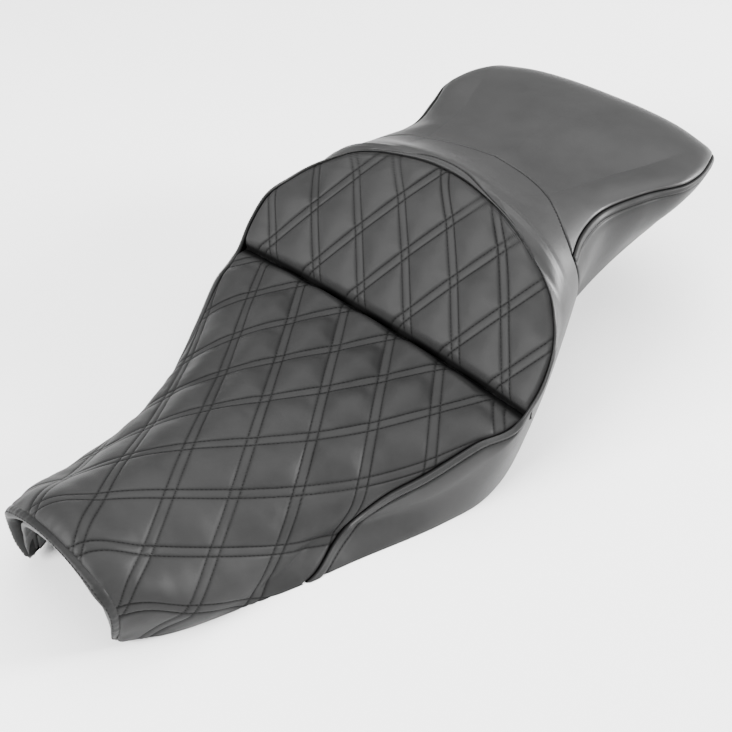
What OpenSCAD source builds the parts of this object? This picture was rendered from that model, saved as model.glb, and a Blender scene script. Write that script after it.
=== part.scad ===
// Two-up motorcycle seat: a moulded pan, a foam core, gel pads, sewn cover panels and steel fixings.
// +X is the rider's left, -Y the nose, +Y the tail. The seat stands on the rim of its pan at z = 0.

/* [Overall size] */
// Length from the nose panel edge to the tail
seat_length = 686; // [640:2:740]
// Widest half width of the driver section
driver_half = 168; // [150:1:185]
// Widest half width of the passenger section
passenger_half = 139; // [120:1:155]
// Height of the driver seat at the crease
driver_height = 76; // [66:1:86]
// Height of the hump between the driver and the passenger
hump_height = 190; // [170:1:205]
// Height of the passenger seat
passenger_height = 165; // [150:1:180]

/* [Cover] */
// Thickness of the plain cover
cover_t = 2.2; // [1.5:0.1:3]
// Thickness of the quilted cover with its wadding
quilt_t = 5; // [4:0.2:7]
// Gap left between neighbouring panels
seam_gap = 0.5; // [0.3:0.1:1]
// Radius of the rolled band at the nose
band_r = 7; // [5:0.5:9]

/* [Core and pan] */
// Depth of the foam below the outer surface
foam_depth = 7; // [6.5:0.5:9]
// Thickness of the gel pads
gel_t = 5; // [3:0.5:6]
// Thickness of the pan wall
pan_t = 3; // [2.5:0.1:4]
// Thickness of the lining under the pan
lining_t = 1; // [0.6:0.1:1.4]

/* [Fixings] */
// Thickness of the steel brackets
steel_t = 3; // [2:0.5:4]
// Width of the front tongue
tongue_w = 44; // [34:1:50]
// Width of the rear bracket
bracket_w = 34; // [28:1:44]
// Radius of the hole for the rear screw
screw_r = 4.2; // [3.2:0.1:5]
// Radius of a rubber bumper
bumper_r = 11; // [8:0.5:13]
// Height of a rubber bumper
bumper_h = 12; // [8:0.5:14]

/* [Hidden] */

// Scale of the reference profiles below, which are drawn for a seat 686 long.
long = seat_length / 686;
nose_y = -seat_length / 2;
tail_y = seat_length / 2;
crease_y = -9 * long;
// The nose band stands in front of the nose, so the seat moves back by half of it.
shift_y = band_r / 2;

// Profiles: [distance from the middle along the seat, value]. A smooth curve joins the points.
drop = driver_height - 76;
pass_up = passenger_height - 165;
hump_up = hump_height - 190;
grow = driver_half / 168;
pgrow = passenger_half / 139;
// Top centreline of the driver section.
crown_front = [[-343, 84], [-337, 89], [-297, 85], [-217, 76], [-137, 70.5], [-9, 76]];
// Top centreline from the crease up the lumbar face, over the hump and along the passenger seat.
crown_rear = [[-9, 76], [8, 99], [28, 126], [48, 153], [69, 182], [80, 190], [97, 186],
    [126, 174], [164, 165], [204, 162], [279, 165], [343, 162]];
// Half width and height of the shoulder, which is also the edge of the lumbar face.
shoulder_x = [[-343, 51], [-297, 53], [-257, 60], [-217, 73], [-137, 109], [-58, 149], [-9, 165],
    [8, 167], [26, 161], [39, 150], [54, 124], [63, 90], [72, 62], [97, 62], [164, 75],
    [204, 85], [244, 100], [279, 110], [343, 121]];
shoulder_z = [[-343, 70], [-320, 71], [-297, 63], [-257, 55], [-217, 48], [-177, 45], [-137, 45],
    [-97, 52], [-58, 65], [-9, 75], [8, 95], [26, 119], [39, 131], [54, 152], [63, 173],
    [72, 185], [80, 186], [97, 178], [126, 168], [164, 160], [204, 157], [279, 159], [343, 160]];
// Half width and height where the side is widest.
widest_x = [[-343, 65], [-320, 76], [-297, 88], [-257, 96], [-177, 103], [-137, 122], [-97, 144],
    [-58, 159], [-19, 168], [-2, 166], [43, 153], [97, 134], [126, 124], [164, 114], [204, 125],
    [244, 137], [279, 138], [343, 131]];
widest_z = [[-343, 43], [-320, 41], [-297, 24], [-257, 12], [-177, 19], [-137, 22], [-97, 29],
    [-58, 46], [-19, 62], [43, 99], [97, 119], [126, 129], [164, 138], [204, 144], [244, 147],
    [343, 147]];
// Half width and height of the bottom edge.
edge_x = [[-343, 58], [-297, 80], [-257, 96], [-217, 112], [-177, 125], [-97, 152], [-58, 160],
    [-19, 158], [43, 138], [97, 115], [126, 106], [164, 100], [204, 97], [244, 100], [279, 107],
    [309, 112], [343, 113]];
edge_z = [[-343, 8], [-325, 3], [-300, 0], [-200, 0], [0, 0], [45, 0], [69, 10], [97, 36], [126, 57],
    [164, 63], [204, 67], [244, 76], [279, 89], [309, 103], [343, 117]];
// How far a cross section bends back at its sides, the turn at the shoulder, and how flat the top is.
bow_y = [[-343, 2], [-320, 1], [-297, 0], [-70, 0], [-9, -8], [60, -4], [97, -6], [126, -11],
    [164, -5], [204, 0], [244, -4], [279, -16], [309, -22], [343, -15]];
ridge_deg = [[-343, 0], [-97, 0], [-58, 6], [-19, 20], [-2, 30], [20, 35], [43, 30], [68, 12],
    [90, 0], [343, 0]];
flatness = [[-343, 2], [-137, 2.1], [-58, 3], [48, 3], [80, 2], [279, 2], [343, 3]];
// Height of the pan's arch above its rim.
arch_h = [[-343, 76], [-300, 68], [-257, 52], [-217, 42], [-177, 34], [-97, 29], [-9, 30],
    [60, 34], [126, 44], [204, 42], [279, 34], [320, 20], [343, 4]];

// Where the tail starts to round down, the height that it rounds to, and the roundness.
tail_start = 285 * long;
tail_z = 121 + pass_up;
tail_round = 2.8;

// Seams as [distance along the seat, place across], where 1 is the shoulder and 3 the bottom edge.
side_seam = [[-212, 3], [-189, 2.6], [-165, 2.13], [-150, 1.75], [-135, 1.5], [-98, 1.23],
    [-50, 1.05], [-9, 1]];
passenger_seam = [[100, 1.68], [140, 1.64], [200, 1.7], [257, 1.86], [300, 1.85], [343, 1.5]];
// The seam behind the hump, as [place across, distance along the seat].
hump_seam = [[0, 146], [0.6, 141], [1, 132], [1.3, 118], [1.5, 107], [1.68, 100]];
// The arch seam leaves the shoulder here and closes over the top of the lumbar face here.
arch_turn_y = 60;
arch_top_y = 75;
band_front_y = -212;
upright_seam_y = 100;
upright_seam_t = 1.68;

// Smooth curve through a profile's points at x.
function slot_of(tab, x, i = 0) = (i >= len(tab) - 2 || x < tab[i + 1][0]) ? i : slot_of(tab, x, i + 1);
function gap_of(tab, i) = tab[i + 1][0] - tab[i][0];
function rise_of(tab, i) = (tab[i + 1][1] - tab[i][1]) / gap_of(tab, i);
function slope_of(tab, i) = i == 0 ? rise_of(tab, 0) :
    i == len(tab) - 1 ? rise_of(tab, i - 1) :
    (rise_of(tab, i - 1) * gap_of(tab, i) + rise_of(tab, i) * gap_of(tab, i - 1))
        / (gap_of(tab, i) + gap_of(tab, i - 1));
function hermite(a, ma, b, mb, f) = (2 * f * f * f - 3 * f * f + 1) * a + (f * f * f - 2 * f * f + f) * ma
    + (3 * f * f - 2 * f * f * f) * b + (f * f * f - f * f) * mb;
function prof_in(tab, x, i) = hermite(tab[i][1], slope_of(tab, i) * gap_of(tab, i), tab[i + 1][1],
    slope_of(tab, i + 1) * gap_of(tab, i), (x - tab[i][0]) / gap_of(tab, i));
function clamp(x, lo, hi) = min(max(x, lo), hi);
function prof(tab, x) = let (c = clamp(x, tab[0][0], tab[len(tab) - 1][0])) prof_in(tab, c, slot_of(tab, c));
function mix(a, b, f) = a + (b - a) * f;

// How much of its height a section keeps as the tail rounds down.
function tail_keep(y) = y <= tail_start ? 1 :
    pow(max(1 - pow(min((y - tail_start) / (tail_y - tail_start), 1), tail_round), 0), 1 / tail_round);
// How much of the hump's and of the passenger seat's extra height a place has.
function hump_share(y) = clamp(1 - abs(y - 80) / 60, 0, 1);
function pass_share(y) = clamp((y - 100) / 60, 0, 1);
function lift(y) = hump_up * hump_share(y) + pass_up * pass_share(y) + drop * clamp(1 - abs(y + 60) / 260, 0, 1);
function widen(y) = mix(grow, pgrow, clamp((y - 40) / 100, 0, 1));

// One cross section's measures at a distance along the seat.
function row(yr) = let (
    y = yr / long,
    keep = tail_keep(yr),
    narrow = 0.83 + 0.17 * keep,
    up = lift(y),
    w = widen(y),
    top = mix(tail_z, (yr <= crease_y ? prof(crown_front, y) : prof(crown_rear, y)) + up, keep))
    [yr, top, prof(shoulder_x, y) * narrow * w, min(mix(tail_z, prof(shoulder_z, y) + up, keep), top),
    prof(widest_x, y) * narrow * w, mix(tail_z, prof(widest_z, y), keep), prof(edge_x, y) * w,
    max(prof(edge_z, y), 0), prof(bow_y, y) * long, prof(ridge_deg, y), prof(flatness, y), prof(arch_h, y)];

// A point of a section in the x-z plane: t is 0 at the middle, 1 at the shoulder,
// 2 at the widest place and 3 at the bottom edge.
function top_part(r, t) = [r[2] * t, r[1] - (r[1] - r[3]) * pow(t, r[10])];
function turn_part(r, f) = let (
    a = atan2(r[10] * (r[1] - r[3]), r[2]) + r[9],
    c = 1.1 * norm([r[4] - r[2], r[5] - r[3]]))
    [hermite(r[2], c * cos(a), r[4], 0, f), hermite(r[3], -c * sin(a), r[5], -c, f)];
function side_part(r, f) = let (
    dx = r[6] - r[4],
    dz = r[7] - r[5],
    c = norm([dx, dz]))
    [hermite(r[4], 0, r[6], 0.6 * dx - 0.12 * c, f), hermite(r[5], -0.9 * c, r[7], 0.6 * dz - 0.4 * c, f)];
function section(r, t) = t <= 1 ? top_part(r, t) : t <= 2 ? turn_part(r, t - 1) : side_part(r, min(t, 3) - 2);
function place(r, t) = let (
    p = section(r, abs(t)),
    s = t < 0 ? -1 : 1)
    [s * p[0], r[0] + r[8] * pow(min(p[0] / r[4], 1), 2.5) + shift_y, p[1]];

// Unit vector out of the surface. The step along the seat stays on the caller's side of the crease.
function unit(v) = v / max(norm(v), 0.000001);
function lower_y(y) = (y > crease_y && y - 1 < crease_y) ? crease_y + 0.01 : max(y - 1, nose_y);
function upper_y(y) = (y <= crease_y && y + 1 > crease_y) ? crease_y : min(y + 1, tail_y);
function outward(y, t) = let (
    r = row(y),
    along = place(row(upper_y(y)), t) - place(row(lower_y(y)), t),
    across = place(r, min(t + 0.02, 3)) - place(r, max(t - 0.02, -3)))
    unit(cross(across, along));

// The outer surface moved in by e along its normal, and never below the floor gap.
function skin(y, t, e) = let (p = place(row(y), t) - e * outward(y, t)) [p[0], p[1], max(p[2], 0.3)];

pan_inset = 12;
rim_inset = cover_t + 1;
// How narrow the pan is beside the outer section; where the side leans in, it follows the lower part.
function pan_narrow(r, d) = let (
    squeeze = r[11] / max(r[1] - r[7], 1),
    base = r[6] + max(r[4] - r[6], 0) * squeeze * 0.7)
    (base - pan_inset - d) / max(r[4], r[6]);
// The pan's surface: the outer section squeezed under the foam. d goes down through the pan.
function pan_point(y, t, d) = let (
    r = row(y),
    p = section(r, abs(t)),
    s = t < 0 ? -1 : 1,
    h = max(min(r[11], r[1] - r[7] - 12) - d, 0.4),
    inner = pan_narrow(r, d),
    rim = (r[6] - rim_inset - d) / r[6],
    k = abs(t) <= 2 ? inner : mix(inner, rim, min(abs(t), 3) - 2))
    [s * p[0] * k, r[0] + r[8] * pow(min(p[0] / r[4], 1), 2.5) + shift_y,
    max(r[7] + (p[1] - r[7]) * h / max(r[1] - r[7], 1), r[7])];

// Closed solid between two grids of points of the same size.
function cells(n, m, base, flip) = [for (i = [0:n - 2]) for (j = [0:m - 2])
    let (a = base + i * m + j, b = a + 1, c = a + m + 1, d = a + m)
    each flip ? [[a, b, c], [a, c, d]] : [[a, c, b], [a, d, c]]];
function edge_loop(n, m) = concat([for (j = [0:m - 2]) j], [for (i = [0:n - 2]) i * m + m - 1],
    [for (j = [m - 1:-1:1]) (n - 1) * m + j], [for (i = [n - 1:-1:1]) i * m]);
function wall(n, m) = let (e = edge_loop(n, m), k = len(e), base = n * m)
    [for (i = [0:k - 1]) let (a = e[i], b = e[(i + 1) % k]) each [[a, b, b + base], [a, b + base, a + base]]];
module slab(over, under) {
    n = len(over);
    m = len(over[0]);
    polyhedron(
        points = concat([for (r = over) each r], [for (r = under) each r]),
        faces = concat(cells(n, m, 0, false), cells(n, m, n * m, true), wall(n, m)));
}
// Solid of a sheet: places is a grid of [y, t], from depth e0 to depth e1.
module sheet(places, e0, e1) {
    slab([for (r = places) [for (q = r) skin(q[0], q[1], e0)]],
        [for (r = places) [for (q = r) skin(q[0], q[1], e1)]]);
}
function steps(a, b, n) = [for (i = [0:n]) mix(a, b, i / n)];

// Rows of places for the cover panels.
gap_t = seam_gap / 40;
function side_t(y) = y < band_front_y * long ? 3 : min(prof(side_seam, y / long), 3);
function hump_y(t) = prof(hump_seam, abs(t)) * long;
function passenger_t(y) = prof(passenger_seam, y / long);
function driver_row(y, n, reach) = [for (q = steps(-1, 1, n)) [y, q * min(side_t(y) - gap_t, reach)]];
// Stations along the seat, closer together round the tail.
function tail_steps(n) = [for (i = [1:n]) mix(tail_start, tail_y - 0.2, sin(90 * i / n))];
function body_steps(n1, n2, n3) = concat(steps(nose_y, crease_y, n1),
    [for (i = [1:n2]) mix(crease_y, tail_start, i / n2)], tail_steps(n3));

// The lumbar face, row by row up from the crease; its edge follows the arch seam.
function arch_place(f) = let (turn = 0.72)
    f < turn ? [mix(crease_y, arch_turn_y * long, f / turn), 1]
    : let (a = 90 * (f - turn) / (1 - turn))
        [(arch_turn_y + (arch_top_y - arch_turn_y) * sin(a)) * long, cos(a)];
function lumbar_row(f, n) = let (p = arch_place(f))
    [for (q = steps(-1, 1, n)) [p[0] + 0.4, q * max(p[1] - gap_t, 0.02)]];

// The bolster runs from the front tip of one side, over the hump, to the front tip of the other.
// a is 0 at a tip and 1 over the middle.
function bolster_inner(a) = let (turn = 0.4)
    a < turn ? let (y = mix(band_front_y * long, crease_y, a / turn)) [y, side_t(y)]
    : arch_place((a - turn) / (1 - turn));
function bolster_outer(a) =
    a < 0.6 ? [mix(band_front_y, upright_seam_y, a / 0.6) * long, 3]
    : a < 0.75 ? [upright_seam_y * long, mix(3, upright_seam_t, (a - 0.6) / 0.15)]
    : let (t = upright_seam_t * (1 - (a - 0.75) / 0.25)) [hump_y(t), t];
function bolster_place(a, w) = let (p = bolster_inner(abs(a)), q = bolster_outer(abs(a)), s = a < 0 ? -1 : 1,
    t = mix(p[1] + gap_t, q[1], w)) [mix(p[0], q[0] - 0.3, w), s * min(t, 3)];

// Base pan: an arched shell whose rim the seat stands on.
module base_pan() {
    places = [for (y = body_steps(12, 14, 4)) [for (t = steps(-3, 3, 20)) [y, t]]];
    color([0.10, 0.10, 0.11])
        slab([for (r = places) [for (q = r) pan_point(q[0], q[1], 0)]],
            [for (r = places) [for (q = r) pan_point(q[0], q[1], pan_t)]]);
}

// Lining glued under the pan.
module pan_lining() {
    rows = body_steps(12, 14, 4);
    places = [for (i = [2:24]) [for (t = steps(-2.1, 2.1, 14)) [rows[i], t]]];
    color([0.16, 0.16, 0.17])
        slab([for (r = places) [for (q = r) pan_point(q[0], q[1], pan_t + 0.4)]],
            [for (r = places) [for (q = r) pan_point(q[0], q[1], pan_t + 0.4 + lining_t)]]);
}

// Foam core, with a shallow seat for each gel pad.
driver_pad = [-215 * long, -60 * long, 0.9];
passenger_pad = [185 * long, 280 * long, 0.9];
function step_in(x, a, b) = clamp(min(x - a, b - x) / 8 + 1, 0, 1);
function pad_seat(y, t, pad) = step_in(y, pad[0], pad[1]) * clamp((pad[2] - abs(t)) / 0.1 + 1, 0, 1);
function foam_e(y, t) = foam_depth + (gel_t + 0.6) * max(pad_seat(y, t, driver_pad), pad_seat(y, t, passenger_pad));
foam_end_t = 2.4;
module foam_core() {
    rows = concat(steps(nose_y + 3, crease_y, 16), [for (i = [1:18]) mix(crease_y, tail_start, i / 18)],
        [for (i = [1:4]) mix(tail_start, tail_y - 6, sin(90 * i / 4))]);
    places = [for (y = rows) [for (t = steps(-foam_end_t, foam_end_t, 22)) [y, t]]];
    color([0.86, 0.80, 0.62])
        slab([for (r = places) [for (q = r) skin(q[0], q[1], foam_e(q[0], q[1]))]],
            [for (r = places) [for (q = r) pan_point(q[0], q[1], -0.5)]]);
}

// Gel pads let into the top of the foam.
module gel_pad(pad) {
    places = [for (y = steps(pad[0] + 2, pad[1] - 2, 8)) [for (t = steps(-pad[2] + 0.02, pad[2] - 0.02, 10)) [y, t]]];
    color([0.30, 0.45, 0.75]) sheet(places, foam_depth, foam_depth + gel_t);
}
module driver_gel_pad() {
    gel_pad(driver_pad);
}
module passenger_gel_pad() {
    gel_pad(passenger_pad);
}

// Quilted panels.
module driver_quilt_panel() {
    places = [for (y = steps(nose_y, crease_y - 0.4, 22)) driver_row(y, 28, 2.99)];
    color([0.25, 0.25, 0.26]) sheet(places, 0, quilt_t);
}
module lumbar_quilt_panel() {
    places = [for (f = steps(0, 0.99, 18)) lumbar_row(f, 20)];
    color([0.25, 0.25, 0.26]) sheet(places, 0, quilt_t);
}

// Bolster over the hump and down both sides, in one piece.
module bolster_panel() {
    right = steps(-0.02, -1, 30);
    left = steps(0.967, 0.02, 29);
    grid = [for (a = concat(right, left)) [for (w = steps(0, 1, 8)) bolster_place(a, w)]];
    color([0.29, 0.29, 0.30]) sheet(grid, 0, cover_t);
}

// Plain passenger panels.
function passenger_place(f, q) = let (
    y0 = hump_y(q * upright_seam_t),
    y = mix(y0 + 0.3, tail_y - 0.2, sin(90 * pow(f, 1.15))))
    [y, q * (passenger_t(y) - gap_t)];
module passenger_top_panel() {
    places = [for (f = steps(0, 1, 18)) [for (q = steps(-1, 1, 22)) passenger_place(f, q)]];
    color([0.29, 0.29, 0.30]) sheet(places, 0, cover_t);
}
module passenger_side(s) {
    rows = concat(steps(upright_seam_y * long + 0.3, tail_start, 12), tail_steps(5));
    places = [for (y = rows) [for (w = s > 0 ? steps(0, 1, 6) : steps(1, 0, 6))
        [y, s * mix(passenger_t(y) + gap_t, 3, w)]]];
    color([0.27, 0.27, 0.28]) sheet(places, 0, cover_t);
}
module passenger_side_left() {
    passenger_side(1);
}
module passenger_side_right() {
    passenger_side(-1);
}

// Band rolled over the front of the nose.
function band_point(t, a, d) = let (
    e = (band_r - d) * cos(a),
    p = skin(nose_y, t, band_r - e))
    [p[0], p[1] - 0.4 - (band_r - d) * sin(a), p[2]];
module nose_band() {
    ts = steps(-2.98, 2.98, 36);
    outer = [for (t = ts) [for (a = steps(0, 90, 4)) band_point(t, a, 0)]];
    inner = [for (t = ts) [for (a = steps(0, 90, 4)) band_point(t, a, cover_t)]];
    color([0.31, 0.31, 0.32]) slab(outer, inner);
}
// Tape sewn along the crease, which pulls the cover down to the foam.
module crease_listing() {
    places = [for (y = steps(crease_y - 11, crease_y - 1, 2)) [for (t = steps(-0.9, 0.9, 12)) [y, t]]];
    color([0.55, 0.55, 0.52]) sheet(places, quilt_t + 0.4, quilt_t + 1.2);
}

// Hem of the cover, turned in under the rim and stapled to the pan.
hem_t = 1.2;
hem_y0 = nose_y + 12;
hem_y1 = tail_start - 2;
hem_mid_t = 2.7;
module cover_hem(s) {
    places = [for (y = steps(hem_y0, hem_y1, 26)) [for (w = s > 0 ? steps(2.42, 2.96, 3) : steps(2.96, 2.42, 3))
        [y, s * w]]];
    color([0.20, 0.20, 0.21])
        slab([for (r = places) [for (q = r) pan_point(q[0], q[1], pan_t + 0.3)]],
            [for (r = places) [for (q = r) pan_point(q[0], q[1], pan_t + 0.3 + hem_t)]]);
}
module cover_hem_left() {
    cover_hem(1);
}
module cover_hem_right() {
    cover_hem(-1);
}
staple = [0.7, 9, 1.2];
staple_pitch = 24;
module hem_staples() {
    count = floor((hem_y1 - hem_y0 - 20) / staple_pitch);
    color([0.75, 0.75, 0.76])
        for (i = [0:count], s = [-1, 1]) {
            y = hem_y0 + 10 + i * staple_pitch;
            p = pan_point(y - 4, s * hem_mid_t, pan_t + 0.3 + hem_t);
            q = pan_point(y + 4, s * hem_mid_t, pan_t + 0.3 + hem_t);
            turn = atan2(p[0] - q[0], q[1] - p[1]);
            translate((p + q) / 2) rotate([atan2(q[2] - p[2], q[1] - p[1]), 0, turn])
                translate([-s * (staple[0] / 2 + 0.3), 0, 0]) cube(staple, center = true);
        }
}

// Height of the pan's underside at a place, for x inside the shoulder.
function under_z(x, y) = let (r = row(y)) pan_point(y, abs(x) / (r[2] * pan_narrow(r, pan_t)), pan_t)[2];

// Steel tongue that hooks under the frame at the nose.
tongue_y0 = nose_y + 6;
tongue_y1 = nose_y + 58;
tongue_drop = 0.8;
tongue_z0 = under_z(tongue_w / 2, tongue_y0) - tongue_drop;
tongue_z1 = under_z(tongue_w / 2, tongue_y1) - tongue_drop;
tongue_tilt = atan2(tongue_z1 - tongue_z0, tongue_y1 - tongue_y0);
tongue_l = norm([tongue_z1 - tongue_z0, tongue_y1 - tongue_y0]);
rivet_r = 3;
rivet_fit = 0.1;
tongue_rivet_x = 12;
module on_tongue() {
    translate([0, tongue_y0 + shift_y, tongue_z0]) rotate([tongue_tilt, 0, 0]) children();
}
module front_tongue() {
    corner = 9;
    color([0.42, 0.43, 0.45]) on_tongue() difference() {
        translate([0, 0, -steel_t]) linear_extrude(steel_t) difference() {
            union() {
                translate([-tongue_w / 2, corner]) square([tongue_w, tongue_l - corner]);
                translate([-tongue_w / 2 + corner, 0]) square([tongue_w - 2 * corner, corner + 1]);
                for (s = [-1, 1]) translate([s * (tongue_w / 2 - corner), corner]) circle(corner, $fn = 48);
            }
        }
        for (s = [-1, 1]) translate([s * tongue_rivet_x, tongue_l - 12, -steel_t - 1])
            cylinder(r = rivet_r + rivet_fit, h = steel_t + 2, $fn = 40);
    }
}
module rivet(shank) {
    head_r = rivet_r * 1.8;
    translate([0, 0, -2]) cylinder(r1 = head_r * 0.7, r2 = head_r, h = 1.8, $fn = 40);
    translate([0, 0, -0.21]) cylinder(r = rivet_r, h = shank, $fn = 40);
}
module tongue_rivet(s) {
    color([0.70, 0.71, 0.72]) on_tongue()
        translate([s * tongue_rivet_x, tongue_l - 12, -steel_t - 0.05]) rivet(steel_t + tongue_drop * 0.7);
}
module tongue_rivet_left() {
    tongue_rivet(1);
}
module tongue_rivet_right() {
    tongue_rivet(-1);
}

// Steel bracket under the tail: a strap on the pan, a leg down and a foot with the screw hole.
strap_y0 = tail_y - 88;
strap_y1 = tail_y - 38;
strap_drop = 0.8;
strap_z0 = under_z(bracket_w / 2, strap_y0) - strap_drop;
strap_z1 = under_z(bracket_w / 2, strap_y1) - strap_drop;
strap_tilt = atan2(strap_z1 - strap_z0, strap_y1 - strap_y0);
strap_l = norm([strap_z1 - strap_z0, strap_y1 - strap_y0]);
foot_z = strap_z1 - 22;
foot_l = 30;
bracket_rivet_x = 10;
module on_strap() {
    translate([0, strap_y0 + shift_y, strap_z0]) rotate([strap_tilt, 0, 0]) children();
}
module rear_bracket() {
    color([0.42, 0.43, 0.45]) difference() {
        translate([-bracket_w / 2, shift_y, 0]) rotate([90, 0, 90]) linear_extrude(bracket_w) polygon([
            [strap_y0, strap_z0],
            [strap_y0, strap_z0 - steel_t],
            [strap_y1 - steel_t, strap_z1 - steel_t - 0.3],
            [strap_y1 - steel_t, foot_z],
            [strap_y1 + foot_l, foot_z],
            [strap_y1 + foot_l, foot_z + steel_t],
            [strap_y1, foot_z + steel_t],
            [strap_y1, strap_z1]]);
        translate([0, strap_y1 + foot_l - 13 + shift_y, foot_z - 1])
            cylinder(r = screw_r, h = steel_t + 2, $fn = 48);
        for (s = [-1, 1]) on_strap() translate([s * bracket_rivet_x, 14, -steel_t - 2])
            cylinder(r = rivet_r + rivet_fit, h = steel_t + 4, $fn = 40);
    }
}
module bracket_rivet(s) {
    color([0.70, 0.71, 0.72]) on_strap()
        translate([s * bracket_rivet_x, 14, -steel_t - 0.05]) rivet(steel_t + strap_drop * 0.7);
}
module bracket_rivet_left() {
    bracket_rivet(1);
}
module bracket_rivet_right() {
    bracket_rivet(-1);
}

// Rubber bumpers that rest on the frame, each a low cone with a recess for its screw.
bumper_at = [[58, -75 * long], [58, 95 * long], [56, 205 * long]];
module bumper(i, s) {
    x = bumper_at[i][0];
    y = bumper_at[i][1];
    top = min(under_z(x + bumper_r, y - bumper_r), under_z(x + bumper_r, y + bumper_r),
        under_z(x, y - bumper_r), under_z(x, y + bumper_r)) - 0.3;
    color([0.07, 0.07, 0.07]) translate([s * x, y + shift_y, top - bumper_h]) difference() {
        cylinder(r1 = bumper_r - 1.5, r2 = bumper_r, h = bumper_h, $fn = 64);
        translate([0, 0, -1]) cylinder(r = 4, h = bumper_h / 2 + 1, $fn = 40);
    }
}
module bumper_driver_left() {
    bumper(0, 1);
}
module bumper_driver_right() {
    bumper(0, -1);
}
module bumper_middle_left() {
    bumper(1, 1);
}
module bumper_middle_right() {
    bumper(1, -1);
}
module bumper_rear_left() {
    bumper(2, 1);
}
module bumper_rear_right() {
    bumper(2, -1);
}

base_pan();
pan_lining();
foam_core();
driver_gel_pad();
passenger_gel_pad();
driver_quilt_panel();
lumbar_quilt_panel();
bolster_panel();
passenger_top_panel();
passenger_side_left();
passenger_side_right();
nose_band();
crease_listing();
cover_hem_left();
cover_hem_right();
hem_staples();
front_tongue();
tongue_rivet_left();
tongue_rivet_right();
rear_bracket();
bracket_rivet_left();
bracket_rivet_right();
bumper_driver_left();
bumper_driver_right();
bumper_middle_left();
bumper_middle_right();
bumper_rear_left();
bumper_rear_right();
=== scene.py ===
"""Two-up motorcycle seat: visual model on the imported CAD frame. Metres, +X rider's left, -Y nose, +Z up."""
import math
import bpy
import numpy as np
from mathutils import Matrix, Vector


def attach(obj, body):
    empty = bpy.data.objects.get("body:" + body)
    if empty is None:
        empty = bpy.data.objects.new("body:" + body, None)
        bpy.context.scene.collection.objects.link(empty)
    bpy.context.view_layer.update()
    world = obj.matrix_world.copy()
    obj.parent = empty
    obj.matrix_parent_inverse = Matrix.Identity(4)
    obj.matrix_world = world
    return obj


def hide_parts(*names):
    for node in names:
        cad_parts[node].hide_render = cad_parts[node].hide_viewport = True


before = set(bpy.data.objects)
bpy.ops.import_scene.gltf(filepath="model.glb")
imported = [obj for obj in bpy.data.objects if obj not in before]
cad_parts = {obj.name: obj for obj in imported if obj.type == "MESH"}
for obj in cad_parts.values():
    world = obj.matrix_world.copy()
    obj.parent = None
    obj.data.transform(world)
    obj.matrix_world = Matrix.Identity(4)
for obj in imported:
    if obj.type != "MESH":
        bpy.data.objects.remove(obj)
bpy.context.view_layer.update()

MM = 0.001

# ---------------------------------------------------------------------------
# Shape of the seat, in millimetres
# ---------------------------------------------------------------------------
NOSE_Y, CREASE_Y, TAIL_Y = -343.0, -9.0, 343.0
BAND_R = 7.0
SHIFT_Y = BAND_R / 2
TAIL_START, TAIL_Z, TAIL_ROUND = 285.0, 121.0, 2.8

# Profiles: (distance from the middle along the seat, value).
# Top centreline in front of the crease, then behind it.
CROWN_FRONT = [(-343, 84), (-337, 89), (-297, 85), (-217, 76), (-137, 70.5), (-9, 76)]
CROWN_REAR = [(-9, 76), (8, 99), (28, 126), (48, 153), (69, 182), (80, 190), (97, 186), (126, 174),
    (164, 165), (204, 162), (279, 165), (343, 162)]
# Half width and height of the shoulder, of the widest place and of the bottom edge.
SHOULDER_X = [(-343, 51), (-297, 53), (-257, 60), (-217, 73), (-137, 109), (-58, 149), (-9, 165),
    (8, 167), (26, 161), (39, 150), (54, 124), (63, 90), (72, 62), (97, 62), (164, 75), (204, 85),
    (244, 100), (279, 110), (343, 121)]
SHOULDER_Z = [(-343, 70), (-320, 71), (-297, 63), (-257, 55), (-217, 48), (-177, 45), (-137, 45),
    (-97, 52), (-58, 65), (-9, 75), (8, 95), (26, 119), (39, 131), (54, 152), (63, 173), (72, 185),
    (80, 186), (97, 178), (126, 168), (164, 160), (204, 157), (279, 159), (343, 160)]
WIDEST_X = [(-343, 65), (-320, 76), (-297, 88), (-257, 96), (-177, 103), (-137, 122), (-97, 144),
    (-58, 159), (-19, 168), (-2, 166), (43, 153), (97, 134), (126, 124), (164, 114), (204, 125),
    (244, 137), (279, 138), (343, 131)]
WIDEST_Z = [(-343, 43), (-320, 41), (-297, 24), (-257, 12), (-177, 19), (-137, 22), (-97, 29),
    (-58, 46), (-19, 62), (43, 99), (97, 119), (126, 129), (164, 138), (204, 144), (244, 147),
    (343, 147)]
EDGE_X = [(-343, 58), (-297, 80), (-257, 96), (-217, 112), (-177, 125), (-97, 152), (-58, 160),
    (-19, 158), (43, 138), (97, 115), (126, 106), (164, 100), (204, 97), (244, 100), (279, 107),
    (309, 112), (343, 113)]
EDGE_Z = [(-343, 8), (-325, 3), (-300, 0), (-200, 0), (0, 0), (45, 0), (69, 10), (97, 36), (126, 57),
    (164, 63), (204, 67), (244, 76), (279, 89), (309, 103), (343, 117)]
# How far a section bends back at its sides, the turn at the shoulder, and how flat the top is.
BOW_Y = [(-343, 2), (-320, 1), (-297, 0), (-70, 0), (-9, -8), (60, -4), (97, -6), (126, -11),
    (164, -5), (204, 0), (244, -4), (279, -16), (309, -22), (343, -15)]
RIDGE_DEG = [(-343, 0), (-97, 0), (-58, 6), (-19, 20), (-2, 30), (20, 35), (43, 30), (68, 12), (90, 0),
    (343, 0)]
FLATNESS = [(-343, 2), (-137, 2.1), (-58, 3), (48, 3), (80, 2), (279, 2), (343, 3)]
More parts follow.
